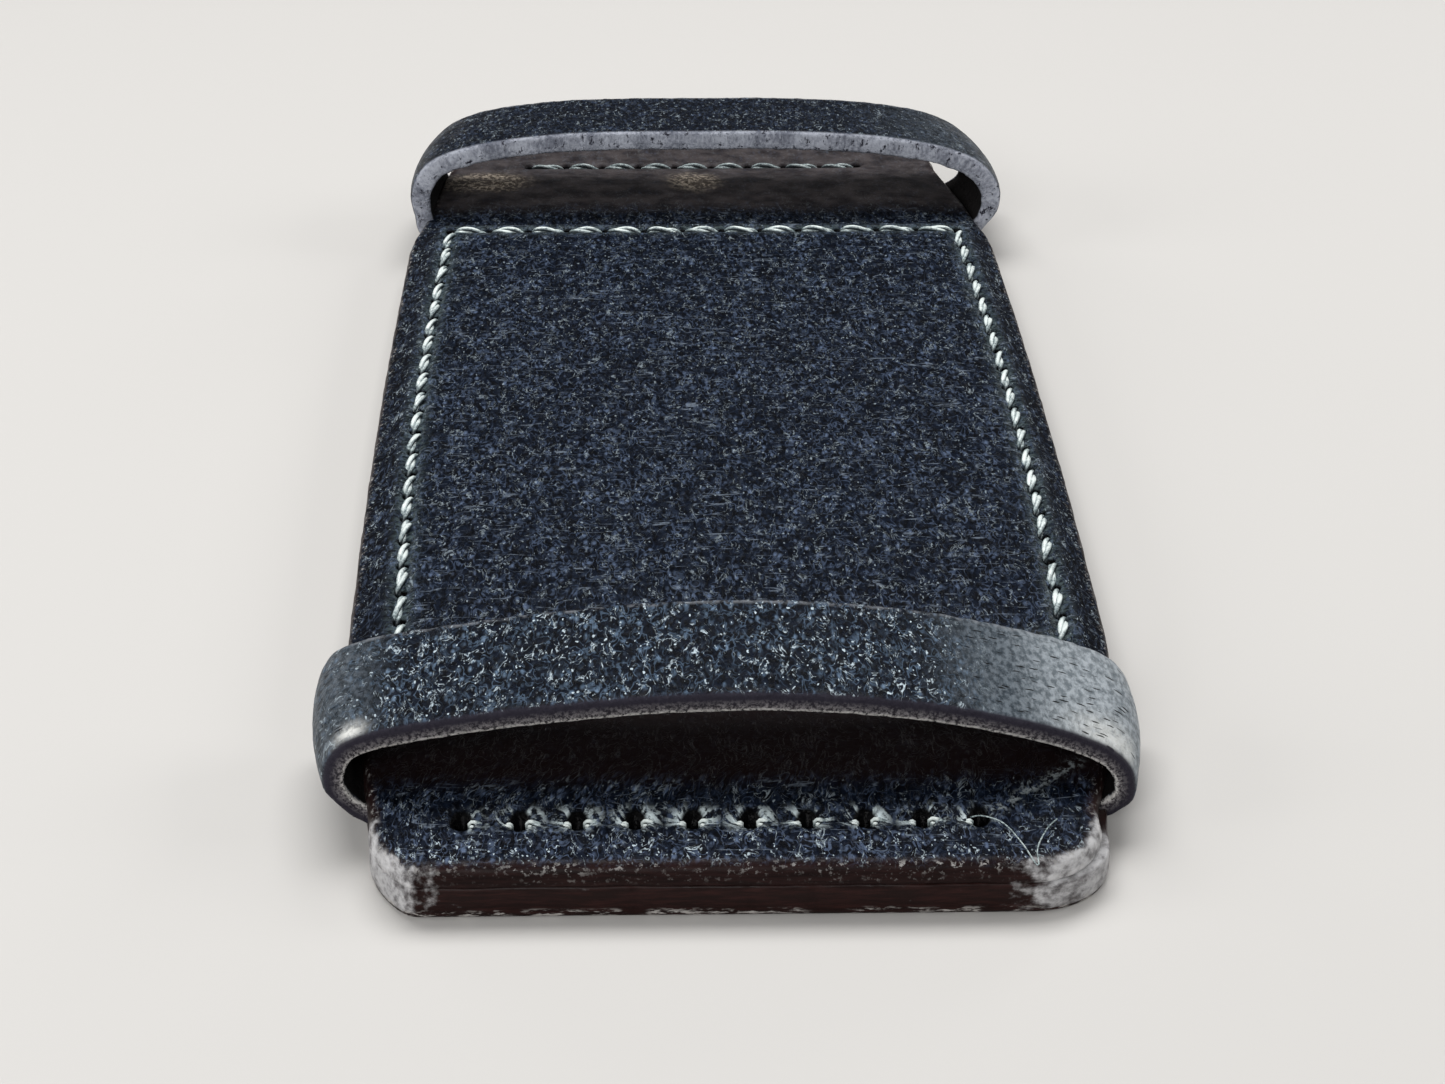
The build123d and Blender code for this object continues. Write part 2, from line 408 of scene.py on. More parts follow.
def end_seam_distance(x, y):
    beyond = np.maximum(np.abs(x) - END_STITCHES * PITCH / 2, 0)
    return np.hypot(beyond, np.abs(y) - END_SEAM_Y)


RAISE_START = 0.12  # share of the margin that stays level outside the seam
RAISE_END = 3.4  # length of the slope at the panel's two ends
PANEL_CROWN = 0.18
SEAM_SINK = 0.3
SEAM_SINK_WIDTH = 0.55
LIP_RISE = 0.1  # leather pushed up beside each hole
BAND_BULGE = 0.28
ARRIS_RADIUS = 0.42
TONGUE_ARRIS = 0.65
HOLE_SINK = 0.95


def cover_height(x, y):
    """Height of the top leather: raised over the felt, pulled down along the seams."""
    distance = seam_distance(x, y)
    side_margin = np.maximum(half_width(y) - seam_half_width(y), 1.0)
    fall = np.where(np.abs(y) > SEAM_HALF_LENGTH, RAISE_END, side_margin)
    raised = 1 - smoothstep(RAISE_START, 1.0, distance / fall)
    inside = smoothstep(0.0, 6.0, -distance)
    height = COVER_Z + FELT_RISE * raised + PANEL_CROWN * inside
    height -= SEAM_SINK * bell(distance, SEAM_SINK_WIDTH)
    height -= SEAM_SINK * bell(end_seam_distance(x, y), SEAM_SINK_WIDTH)
    over_band = bell(np.abs(y) - KEEPER_Y, BAND_WIDTH / 2) * (1 - smoothstep(17.5, 20.5, np.abs(x)))
    height += BAND_BULGE * over_band
    radius = ARRIS_RADIUS + (TONGUE_ARRIS - ARRIS_RADIUS) * smoothstep(44.0, 48.0, np.abs(y))
    inset = np.clip(edge_distance(x, y), 0, radius)
    height -= radius - np.sqrt(radius**2 - (radius - inset) ** 2)
    height += LIP_RISE * (hole_depth(x, y, 2.0) - hole_depth(x, y))
    height -= HOLE_SINK * hole_depth(x, y)
    return height


def creases(x, y, plan):
    """Creases where the leather is pressed over the buried band, strongest at two spots."""
    folds = np.sin(2.6 * x + 1.4 * y + 4.5 * wobble(plan, 0.35, 21.0))
    left_patch = bell(np.hypot((x + 15.5) / 3.6, (y - 41.5) / 2.6), 1.0)
    middle_patch = bell(np.hypot((x - 0.5) / 3.0, (y - 42.0) / 3.2), 1.0)
    across = 0.08 * bell(np.abs(y) - KEEPER_Y, 5.0)
    depth = across + left_patch + middle_patch
    return CREASE_DEPTH * folds * depth * smoothstep(0.5, 2.5, edge_distance(x, y))


CREASE_DEPTH = 0.09


def waxed(x, y):
    """Beside the near tongue's holes, where wax and frayed thread are smeared on the leather."""
    found = np.zeros_like(x)
    for hole_x, hole_y in end_holes(-1):
        away = np.hypot(x - hole_x, y - hole_y)
        beside = smoothstep(0.15, 0.5, np.abs(x - hole_x))
        found = np.maximum(found, bell(away - 0.72, 0.34) * beside)
    return found * (1 - smoothstep(13.3, 13.8, np.abs(x)))


def fanned(x, y):
    """A different value in each direction out of each of the near tongue's holes."""
    holes = end_holes(-1)
    number = np.clip(np.rint(x / PITCH + END_STITCHES / 2), 0, len(holes) - 1)
    ahead = x - (number - END_STITCHES / 2) * PITCH
    return np.arctan2(y + END_SEAM_Y, np.abs(ahead)) + 3.0 * np.sign(ahead) + 7.0 * number


def burnished_and_reflecting(x, y):
    """Where the near tongue's cut corners are burnished smooth, and painted pale there as a
    reflection.
    """
    return smoothstep(12.8, 18.6, np.abs(x)) * smoothstep(45.0, 47.5, -y)


# Scrapes, and folds whose lit crests are painted as pale highlight lines: where each starts and
# ends, and its half width.
SCRAPES_AND_LIT_FOLDS = [
    ((19.0, -42.2), (13.6, -46.9), 0.34),  # a scrape across the near tongue's right corner
    ((22.3, 35.2), (20.0, 32.7), 0.26),  # a fold at the far right corner of the panel, its lit crest a painted highlight
    ((20.9, 38.3), (22.2, 35.6), 0.26),
]


def scrape_and_fold_light(x, y):
    """From 0 to 1, how near a point is to a scrape or fold."""
    found = np.zeros_like(x)
    for start, finish, width in SCRAPES_AND_LIT_FOLDS:
        run = np.subtract(finish, start)
        share = np.clip(((x - start[0]) * run[0] + (y - start[1]) * run[1]) / (run @ run), 0, 1)
        away = np.hypot(x - start[0] - share * run[0], y - start[1] - share * run[1])
        found = np.maximum(found, bell(away, width))
    return found


def make_cover():
    x, y = plan_grid()
    z = cover_height(x, y)
    plan = np.stack([x, y, 0 * x], axis=-1)
    inward = smoothstep(0.3, 2.0, edge_distance(x, y))
    z += (0.05 * wobble(plan, 0.16, 3.0) + 0.022 * wobble(plan, 1.1, 9.0)) * inward
    z += creases(x, y, plan)
    top = np.stack([x, y, z], axis=-1)
    border = top.reshape(-1, 3)[border_of(x.shape)]
    out = outward(border[:, :2])
    on_end = smoothstep(43.0, 46.0, np.abs(border[:, 1]))
    start = ARRIS_RADIUS + (TONGUE_ARRIS - ARRIS_RADIUS) * on_end
    rings = []
    rough = wobble(border * (1, 1, 0), 0.55, 11.0)
    # Rings down the cut edge: how far each bulges out, and its share of the way down.
    for push, share in ((0.05, 0.1), (0.08, 0.35), (0.08, 0.65), (0.06, 0.85), (0.0, 0.97)):
        plan_points = border[:, :2] + out * (push + 0.05 * rough)[:, None]
        level = COVER_Z - start - share * (COVER_THICKNESS - start) - 0.02 * rough
        rings.append(at_level(plan_points, level))
    rings.append(at_level(border[:, :2] - out * 0.14, LAYER_Z))
    pocket = border[:, :2] * (np.array(felt_high.xy) + 0.1) / (HALF_WIDTH, HALF_LENGTH)
    rings.append(at_level(pocket, LAYER_Z))
    rings.append(at_level(pocket * 0.975, LAYER_Z + FELT_RISE + 0.05))
    inset = edge_distance(x, y)
    raw_width = 0.3 + 0.65 * smoothstep(42.0, 46.0, np.abs(y))
    edge = 1 - smoothstep(0.1, 1.0, (inset + 0.2 * wobble(plan, 1.3, 71.0)) / raw_width)
    left_patch = bell(np.hypot((x + 17.0) / 3.6, (y - 42.3) / 2.4), 1.0)
    middle_patch = 0.8 * bell(np.hypot((x + 0.1) / 2.4, (y - 42.2) / 2.6), 1.0)
    margin = smoothstep(0.5, 1.3, seam_distance(x, y)) * (1 - smoothstep(31.0, 34.0, np.abs(y)))
    attributes = {
        "edge": (edge, 1.0),
        "rim": (bell(inset - 0.22, 0.2), [0.1, 0.3, 0.05] + [0.0] * (len(rings) - 3)),
        "hole_shade": (hole_depth(x, y, 1.15), 0.0),
        "dust": (np.maximum(left_patch, middle_patch), 0.0),
        "bare": (smoothstep(35.0, 38.0, y), 0.0),
        "shaded": (plateau(-y, 34.5, 36.5, 42.5, 44.5), 0.0),
        "margin": (margin, 0.0),
        "seam_sheen": (bell(seam_distance(x, y), 0.65), 0.0),
        "wax": (waxed(x, y), 0.0),
        "fan": (fanned(x, y), 0.0),
        "front": (smoothstep(46.9, 49.2, -y), 0.0),
        "burnish_and_reflection": (burnished_and_reflecting(x, y) * edge, burnished_and_reflecting(border[:, 0], border[:, 1])),
        "scrape_and_fold_light_mask": (scrape_and_fold_light(x, y), 0.0),
    }
    cover = shell("top_leather", top, rings, attributes, cover=True)
    add_piece(cover, cover_leather(), "top_cover")


UNDER_SINK = 0.36
UNDER_ARRIS = 0.3


def underside_height(x, y):
    """Height of the underside: flat, with the seams drawn up into it."""
    height = UNDER_SINK * bell(seam_distance(x, y), 0.6)
    height = np.maximum(height, UNDER_SINK * bell(end_seam_distance(x, y), 0.6))
    height = height + 0.5 * hole_depth(x, y)
    inset = np.clip(edge_distance(x, y), 0, UNDER_ARRIS)
    height += UNDER_ARRIS - np.sqrt(UNDER_ARRIS**2 - (UNDER_ARRIS - inset) ** 2)
    return height


def make_base():
    x, y = plan_grid()
    z = underside_height(x, y)
    plan = np.stack([x, y, 0 * x], axis=-1)
    z += 0.03 * (1 + wobble(plan, 0.25, 8.0)) * smoothstep(0.4, 2.0, edge_distance(x, y))
    bottom = np.stack([x, y, np.maximum(z, 0.0)], axis=-1)
    border = bottom.reshape(-1, 3)[border_of(x.shape)]
    out = outward(border[:, :2])
    rough = wobble(border * (1, 1, 0), 0.6, 31.0)
    fine = wobble(border * (1, 1, 0), 2.6, 37.0)
    in_channel = np.abs(np.abs(border[:, 1]) - KEEPER_Y) < CHANNEL_HALF
    on_side = np.abs(np.abs(border[:, 1]) - HALF_LENGTH) > 0.01
    lip = np.where(in_channel & on_side, CHANNEL_Z, LAYER_Z)
    rings = []
    # Rings up the cut edge: how far each bulges out, and its share of the way up.
    bulge = ((0.04, 0.1), (0.08, 0.28), (0.08, 0.5), (0.06, 0.75), (0.02, 0.93), (-0.08, 1.0))
    for push, share in bulge:
        plan_points = border[:, :2] + out * (push + 0.07 * rough + 0.03 * fine)[:, None]
        level = UNDER_ARRIS * 0.6 + (lip - UNDER_ARRIS * 0.6) * share
        rings.append(at_level(plan_points, level))
    attributes = {
        "edge": (1 - smoothstep(0.1, 0.75, edge_distance(x, y)), 1.0),
        "rim": (bell(edge_distance(x, y), 0.3), [1.0, 0.0, 0.0, 0.0, 0.0, 0.0]),
        "burnish_and_reflection": (0 * x, burnished_and_reflecting(border[:, 0], border[:, 1])),
        "hole_shade": (hole_depth(x, y, 1.1), 0.0),
    }
    base = shell("base_leather", bottom, rings, attributes)
    add_piece(base, base_leather(), "base_panel")


def make_felt():
    """The felt between the leathers, a low slab with soft uneven sides."""
    u, v = np.meshgrid(np.linspace(-1, 1, 64), np.linspace(-1, 1, 90))
    y = v * felt_high.y
    x = u * (felt_high.x - SEAM_BOW * v**2)
    plan = np.stack([x, y, 0 * x], axis=-1)
    top = np.full_like(x, LAYER_Z + FELT_RISE - 0.06) + 0.04 * wobble(plan, 0.6, 41.0)
    shrink = 0.965
    surface = np.stack([x * shrink, y * shrink, top], axis=-1)
    border = np.stack([x, y, top], axis=-1).reshape(-1, 3)[border_of(x.shape)]
    rings = [
        at_level(border[:, :2] * grow, LAYER_Z + 0.02 + (FELT_RISE - 0.1) * share)
        for share, grow in ((0.7, 0.985), (0.35, 0.995), (0.0, 0.99))
    ]
    felt = shell("felt_padding", surface, rings, {"edge": (np.zeros_like(x), 0.0)})
    add_piece(felt, felt_material(), "felt_pad")


# ---- keepers

def smooth_line(points, spacing):
    """A smooth curve through a few points, sampled evenly."""
    points = np.array(points, float)
    padded = np.vstack([2 * points[0] - points[1], points, 2 * points[-1] - points[-2]])
    samples = []
    for a, b, c, d in zip(padded, padded[1:], padded[2:], padded[3:]):
        chord = [max(np.linalg.norm(q - p), 1e-6) ** 0.5 for p, q in ((a, b), (b, c), (c, d))]
        knots = np.concatenate([[0], np.cumsum(chord)])
        for t in np.linspace(knots[1], knots[2], 24, endpoint=False):
            found = (a, b, c, d)
            for spans in (((0, 1), (1, 2), (2, 3)), ((0, 2), (1, 3)), ((1, 2),)):
                found = [
                    p + (q - p) * (t - knots[low]) / (knots[high] - knots[low])
                    for p, q, (low, high) in zip(found, found[1:], spans)
                ]
            samples += found
    samples.append(points[-1])
    samples = np.array(samples)
    length = np.concatenate([[0], np.cumsum(np.linalg.norm(np.diff(samples, axis=0), axis=1))])
    even = np.linspace(0, length[-1], int(length[-1] / spacing) + 1)
    line = np.column_stack([np.interp(even, length, samples[:, k]) for k in range(points.shape[1])])
    return line, even


def band_section():
    """Points round the band's section: across its width, and out from its middle."""
    half = BAND_WIDTH / 2
    thick = BAND_THICKNESS / 2
    outer = 0.36  # bevel of the outer arris
    inner = 0.14
    across = [(t, thick) for t in np.linspace(-half + outer, half - outer, 27)]
    right = [
        (half - outer * (1 - math.sin(a)), thick - outer * (1 - math.cos(a)))
        for a in (0.35, 0.75, 1.15)
    ]
    right += [(half, thick - outer), (half + 0.02, 0.0), (half, -thick + 0.3)]
    right += [(half - 0.03, -thick + inner), (half - inner, -thick + 0.02)]
    back = [(t, -thick) for t in np.linspace(half - 0.35, -half + 0.35, 19)]
    left = [(-t, d) for t, d in reversed(right)]
    return np.array(across + right + back + left)


def make_keeper(end, points, lean, shift, swell):
    """One keeper: a single band from its lap, round one side, over the pad and back.

    It leans about its hinge, and its arch is shifted across and swells on its outer face.
    """
    direction = -1 if end == "near" else 1
    body = f"{end}_keeper"
    hinge = hinges[body]
    line, along = smooth_line(points, 0.24)
    tangent = unit(np.gradient(line, axis=0))
    normal = np.column_stack([-tangent[:, 1], tangent[:, 0]])
    section = band_section()
    t, d = section.T[:, None]  # across the band's width, and out from its middle
    count = (len(line), len(section))
    rest = np.stack([np.broadcast_to(part, count) for part in (along[:, None], t, d)], axis=-1)
    fuzz = wobble(rest, 1.6, 50.0 + direction, 2)
    uneven = 0.02 * fuzz * np.where(d < -0.3, 4.5, 1.0)
    sway = 0.12 * wobble(rest * (1, 0, 0), 0.12, 60.0 + direction, 2)
    uneven = uneven + swell * smoothstep(LAYER_Z + 1, LAYER_Z + 3, line[:, 1:]) * (d > 0)
    at_side = smoothstep(15.0, 21.0, np.abs(line[:, :1]))
    at_side = at_side * smoothstep(LAYER_Z, LAYER_Z + 1.5, line[:, 1:])
    barrel = SIDE_BARREL * (1 - (2 * t / BAND_WIDTH) ** 2) * at_side
    x = line[:, :1] + normal[:, :1] * (d + uneven + barrel)
    z = line[:, 1:] + normal[:, 1:] * (d + uneven + 0.3 * barrel)
    above = smoothstep(LAYER_Z, LAYER_Z + 1.5, z)
    hug = -direction * SIDE_TAPER * smoothstep(15.0, 22.0, np.abs(x))
    y = t * (1 + 0.03 * fuzz * np.abs(t) / BAND_WIDTH) + sway * above
    x = x * (1 + hug * y / HALF_WIDTH) + shift * above
    angle = math.radians(lean) * smoothstep(1.6, 4.2, z)
    height = z - hinge.z
    turned_y = y * np.cos(angle) - height * np.sin(angle)
    turned_z = y * np.sin(angle) + height * np.cos(angle)
    spot = np.stack([x, hinge.y + turned_y, hinge.z + turned_z], axis=-1)
    index = np.arange(rest[..., 0].size).reshape(count)
    wrap = np.roll(index, -1, axis=1)
    faces = quads(index[:-1], wrap[:-1], wrap[1:], index[1:])
    faces += [index[0].tolist(), index[-1].tolist()[::-1]]
    to_edge = BAND_WIDTH / 2 - np.abs(t)
    # Painted sheen on the shoulders, where the band turns towards the side lamps; the far keeper
    # gets only a little of it.
    wear_and_sheen = smoothstep(8.0, 20.5, x) + 0.32 * smoothstep(17.5, 22.0, -x)
    wear_and_sheen = wear_and_sheen * (1.0 if end == "near" else 0.22) * smoothstep(2.0, 4.0, z) * (d > 0)
    # Painted highlight: a small hot spot on the left shoulder's near edge, and a broader one on the
    # right shoulder.
    painted_hot_spot = bell(np.hypot((x + 21.1) / 0.72, (y + 4.05) / 0.62), 1.0)
    painted_hot_spot = np.maximum(painted_hot_spot, 0.6 * bell(np.hypot((x - 20.6) / 2.2, (y + 3.9) / 1.5), 1.0))
    painted_hot_spot = painted_hot_spot * smoothstep(4.0, 5.0, z) * (d > 0)
    marks = {
        "edge": 1 - smoothstep(0.08, 0.3, to_edge),
        # Painted highlight along the outer arris on each keeper's far side.
        "arris_highlight": bell(to_edge - 0.36, 0.1) * (d > 0) * (t > 0),
        "inner": 1 - smoothstep(-0.3, 0.22, d),
        "fringe": 1 - smoothstep(0.08, 0.3, d - d.min()),
        "wear_and_sheen": wear_and_sheen,
        "painted_hot_spot": painted_hot_spot * (end == "near"),
    }
    attributes = {key: np.broadcast_to(mark, count).ravel() for key, mark in marks.items()}
    attributes["rest"] = rest.reshape(-1, 3)
    keeper = new_mesh(f"{end}_keeper_band", spot.reshape(-1, 3), faces, attributes)
    keeper.data.materials.append(keeper_leather(end))
    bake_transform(keeper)
    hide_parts(f"{end}_keeper_arch", f"{end}_keeper_left_tail", f"{end}_keeper_right_tail")


SIDE_BARREL = 0.5  # how far the sides stand out at mid-width
SIDE_TAPER = 0.1  # how much the band's sides follow the pad's tapering sides

# Middle of each band's thickness, from its lap under the cover, round the left side, over the
# crown and round the right side to the lap again: distance across the pad, and height.
LAP_START = [(6.0, 1.66), (-6.0, 1.68), (-7.5, 1.375), (-14.0, 1.375)]
LAP_END = [(14.0, 1.375), (7.5, 1.375), (6.0, 1.07), (-6.0, 1.05)]
NEAR_KEEPER_LINE = LAP_START + [
    (-19.4, 1.4), (-21.1, 1.95),
    (-22.0, 3.1), (-22.2, 4.6), (-21.5, 5.95), (-20.0, 6.7), (-15.0, 7.75), (-8.0, 8.7),
    (0.0, 9.1), (8.0, 8.68), (14.5, 7.5), (19.2, 6.0), (21.2, 4.9), (22.0, 3.6),
    (21.7, 2.3), (20.7, 1.6), (19.2, 1.375),
] + LAP_END
FAR_KEEPER_LINE = LAP_START + [
    (-19.3, 1.4), (-20.9, 1.95),
    (-21.8, 3.2), (-21.9, 5.0), (-21.0, 6.8), (-18.4, 8.05), (-13.0, 8.9), (-7.0, 9.2),
    (0.0, 9.25), (7.0, 9.2), (13.5, 8.8), (18.6, 7.8), (21.0, 6.5), (22.0, 4.7),
    (21.7, 2.8), (20.7, 1.75), (19.3, 1.375),
] + LAP_END


# ---- threads

PLY_RADIUS = 0.2
PLY_OFFSET = 0.15
STITCH_RISE = 0.12
STITCH_DIVE = 0.55
STITCH_TURNS = 0.8
PARTED_PLY = 0.62  # the near tongue's worn stitches show as two thinner plies, side by side
PARTED_SPREAD = 0.26
NEAR_STITCH_DIP = 0.5  # how far the near tongue's stitches are pressed in between their holes
STITCH_STEPS = 17
RING = 8


def gather(parts):
    """The points and faces of several parts as those of one mesh."""
    points, faces = [], []
    for part_points, part_faces in parts:
        faces += [[v + len(points) for v in face] for face in part_faces]
        points += part_points
    return points, faces


def tube(core, side, above, radii):
    """Points and faces of a closed tube round a core with directions aside and above it."""
    points, faces = [], []
    for spot, aside, over, radius in zip(core, side, above, radii):
        for corner in range(RING):
            a = 2 * math.pi * corner / RING
            points.append(spot + radius * (math.cos(a) * aside + math.sin(a) * over))
    for first in range(0, len(points) - RING, RING):
        for corner in range(RING):
            here, beside = first + corner, first + (corner + 1) % RING
            faces.append([here, beside, beside + RING, here + RING])
    faces.append(list(range(RING))[::-1])
    faces.append(list(range(len(points) - RING, len(points))))
    return points, faces


def stitch(start, end, level, up, slant, phase, share=0.72, dip=0.0):
    """One stitch of two-ply thread, and each point's place along it and how far on top it is."""
    run = np.array(end) - np.array(start)
    length = np.linalg.norm(run)
    ahead = np.append(run / length, 0.0)
    side = np.array([-ahead[1], ahead[0], 0.0])
    lift = np.array([0.0, 0.0, up])
    steps = np.linspace(0, 1, STITCH_STEPS)
    along = length / 2 * (1 - share * np.cos(np.pi * steps))
    hump = np.sin(np.pi * steps)
    rise = -STITCH_DIVE + (STITCH_DIVE + STITCH_RISE) * hump ** (0.25 if dip else 0.5)
    rise -= dip * bell(steps - 0.5, 0.27)
    aside = slant * (steps - 0.5)
    centre = np.append(start, level) + np.outer(along, ahead)
    centre += np.outer(rise, lift) + np.outer(aside, side)
    across = unit(np.cross(unit(np.gradient(centre, axis=0)), side))
    plump = (0.7 + 0.3 * hump) * (PARTED_PLY if dip else 1.0)
    spread = PARTED_SPREAD if dip else PLY_OFFSET
    turns = 0.5 if dip else STITCH_TURNS
    plies = []
    for ply in (0.0, math.pi):
        turn = ply + phase + turns * 2 * math.pi * steps
        offset = np.cos(turn)[:, None] * side + np.sin(turn)[:, None] * across
        core = centre + spread * offset * plump[:, None]
        plies.append(tube(core, np.broadcast_to(side, core.shape), across, PLY_RADIUS * plump))
    places = np.tile(np.repeat(steps, RING), 2)
    rounds = 2 * math.pi * np.arange(RING) / RING
    crests = np.tile((np.sign(up) * across[:, 2:] * np.sin(rounds)).ravel(), 2)
    return gather(plies), places, crests


# The thread's loose end at the near tongue's last hole, curling over the corner.
LOOSE_END = [
    (13.0, -46.6, 3.2), (13.5, -46.9, 3.5), (14.5, -47.7, 3.62), (15.3, -49.4, 3.5),
    (15.9, -51.2, 3.3), (15.95, -50.2, 3.62), (16.6, -48.5, 3.75), (17.2, -47.4, 3.6),
]
LOOSE_RADIUS = 0.038
LOOSE_PALE = 0.62


def loose_end():
    """A fine tube along the loose end."""
    core, _ = smooth_line(LOOSE_END, 0.16)
    tangent = np.gradient(core, axis=0)
    side = unit(np.column_stack([-tangent[:, 1], tangent[:, 0], 0 * tangent[:, 0]]))
    above = unit(np.cross(tangent, side))
    return tube(core, side, above, np.full(len(core), LOOSE_RADIUS))


def thread_highlight(places, crests, parted):
    """Painted highlight on the thread: on top of its arch, or beside the holes if it's parted."""
    from_middle = 2 * np.abs(places - 0.5)
    if parted:
        return bell(from_middle - 0.7, 0.42)
    return bell(from_middle, 1.0) * smoothstep(0.1, 0.95, crests)


def make_seam(seam, holes, top, slant, closed=False, parted=False, highlight_share=1.0):
    """All the stitches of one seam on one side of the pad, as one piece, with painted highlights on
    the thread.
    """
    name, thread = ("top_stitches", "needle") if top else ("under_stitches", "shuttle")
    name = f"{seam}_{name}"
    draw = random.Random(f"{SEED}{name}")
    parts, pale = [], []
    ends = holes[1:] + holes[:1] if closed else holes[1:]
    for start, end in zip(holes, ends):
        middle = (np.array([start]) + end) / 2
        level = cover_height(middle[:, 0], middle[:, 1])[0] if top else UNDER_SINK + 0.02
        turn = draw.uniform(0, 0.5 if parted else math.pi)
        lean = slant * draw.uniform(0.7, 1.25)
        share, dip = (0.72, NEAR_STITCH_DIP) if parted else (0.8, 0.0)
        up = 1 if top else -0.6
        part, places, crests = stitch(start, end, level, up, lean, turn, share, dip)
        parts.append(part)
        pale += (highlight_share * thread_highlight(places, crests, parted)).tolist()
    if name == "near_end_top_stitches":
        parts.append(loose_end())
    points, faces = gather(parts)
    pale += [LOOSE_PALE] * (len(points) - len(pale))
    stitches = new_mesh(name, as_sewn(points), faces, {"rest": np.array(points), "pale": pale})
    add_piece(stitches, THREAD, f"{seam}_{thread}_thread")


LAP_STITCH_HALF = 1.1


def make_lap_stitches(end):
    """The three hidden stitches that close a keeper's lap."""
    direction = -1 if end == "near" else 1
    middle = direction * KEEPER_Y
    parts = []
    for number in (-1, 0, 1):
        start = (0.0, middle + number * PITCH - LAP_STITCH_HALF)
        finish = (0.0, middle + number * PITCH + LAP_STITCH_HALF)
        parts.append(stitch(start, finish, LAYER_Z - 0.36, 0.5, 0.1, number)[0])
    points, faces = gather(parts)
    lap = new_mesh(f"{end}_keeper_lap_stitches", points, faces, {"rest": points})
    add_piece(lap, THREAD, f"{end}_keeper_lap_thread")


# ---- materials

class Nodes:
    """A short way to write a material's nodes."""

    def __init__(self, name, colour=None):
        self.colour = colour
        self.material = bpy.data.materials.new(name)
        self.material.use_nodes = True
        self.tree = self.material.node_tree
        self.shader = self.tree.nodes["Principled BSDF"]

    def put(self, socket, value):
        """Links or sets a socket: a colour is given as red, green and blue."""
        if hasattr(value, "is_output"):
            self.tree.links.new(value, socket)
        else:
            socket.default_value = (*value, 1) if socket.type == "RGBA" else value

    def new(self, kind, inputs, **settings):
        """The outputs of a new shader node, with its settings made and its inputs filled."""
        node = self.tree.nodes.new("ShaderNode" + kind)
        for key, value in settings.items():
            setattr(node, key, value)
        for key, value in inputs.items():
            self.put(node.inputs[key], value)
        return node.outputs

    def attribute(self, name, output="Fac"):
        return self.new("Attribute", {}, attribute_name=name)[output]

    def scaled(self, vector, x, y, z, turn=0.0):
        inputs = {"Vector": vector, "Scale": (x, y, z), "Rotation": (0.0, 0.0, turn)}
        return self.new("Mapping", inputs)["Vector"]

    def noise(self, vector, scale, detail=3.0, rough=0.55, distortion=0.0, output="Fac"):
        inputs = {"Vector": vector, "Scale": scale, "Detail": detail}
        inputs |= {"Roughness": rough, "Distortion": distortion}
        return self.new("TexNoise", inputs)[output]

    def cells(self, vector, scale):
        """Distance from the nearest of some scattered spots, and a value drawn for each spot."""
        outputs = self.new("TexVoronoi", {"Vector": vector, "Scale": scale})
        return outputs["Distance"], outputs["Color"]

    def math(self, operation, a, b=0.0):
        return self.new("Math", {0: a, 1: b}, operation=operation)["Value"]

    def times(self, a, b):
        return self.math("MULTIPLY", a, b)

    def plus(self, a, b):
        return self.math("ADD", a, b)

    def minus(self, a, b):
        return self.math("SUBTRACT", a, b)

    def span(self, value, low, high, to_low=0.0, to_high=1.0):
        """A smooth step from to_low to to_high as the value goes from low to high."""
        inputs = {"Value": value, "From Min": low, "From Max": high}
        inputs |= {"To Min": to_low, "To Max": to_high}
        return self.new("MapRange", inputs, interpolation_type="SMOOTHSTEP")["Result"]

    def mix(self, factor, a, b, kind="RGBA"):
        return self.new("Mix", {"Factor": factor, "A": a, "B": b}, data_type=kind)["Result"]

    def blend(self, factor, a, b):
        return self.mix(factor, a, b, "FLOAT")

    def ramp(self, value, low, high, first, last):
        """A colour from first to last as the value goes from low to high."""
        return self.mix(self.span(value, low, high), first, last)

    def shift(self, vector, amount, scale):
        """The vector moved about by noise, so that cells lose their regular look."""
        colour = self.noise(vector, scale, 2.0, 0.5, output="Color")
        centred = self.new("VectorMath", {0: colour, 1: (0.5, 0.5, 0.5)}, operation="SUBTRACT")
        inputs = {0: centred["Vector"], 1: (amount, amount, amount), 2: vector}
        return self.new("VectorMath", inputs, operation="MULTIPLY_ADD")["Vector"]

    def bump(self, height, distance):
        """Height in millimetres times distance, as a bump."""
        inputs = {"Height": height, "Distance": distance * MM, "Strength": 1.0}
        return self.new("Bump", inputs)["Normal"]

    def paint(self, share, colour):
        """Lays a colour over the colour so far, by its share."""
        self.colour = self.mix(share, self.colour, colour)

    def finish(self, rough, normal=None, specular=0.5):
        self.put(self.shader.inputs["Base Color"], self.colour)
        self.put(self.shader.inputs["Roughness"], rough)
        self.shader.inputs["Specular IOR Level"].default_value = specular
        if normal is not None:
            self.put(self.shader.inputs["Normal"], normal)
        return self.material


GRAIN_STRETCH = (1.0, 0.52, 1.0)  # the grain runs along the pad, and across the keepers


def thin_line(n, value, width):
    """One where a noise crosses its middle value, so that it draws thin wavering lines."""
    return n.span(n.math("ABSOLUTE", n.minus(value, 0.5)), 0.0, width, 1.0, 0.0)


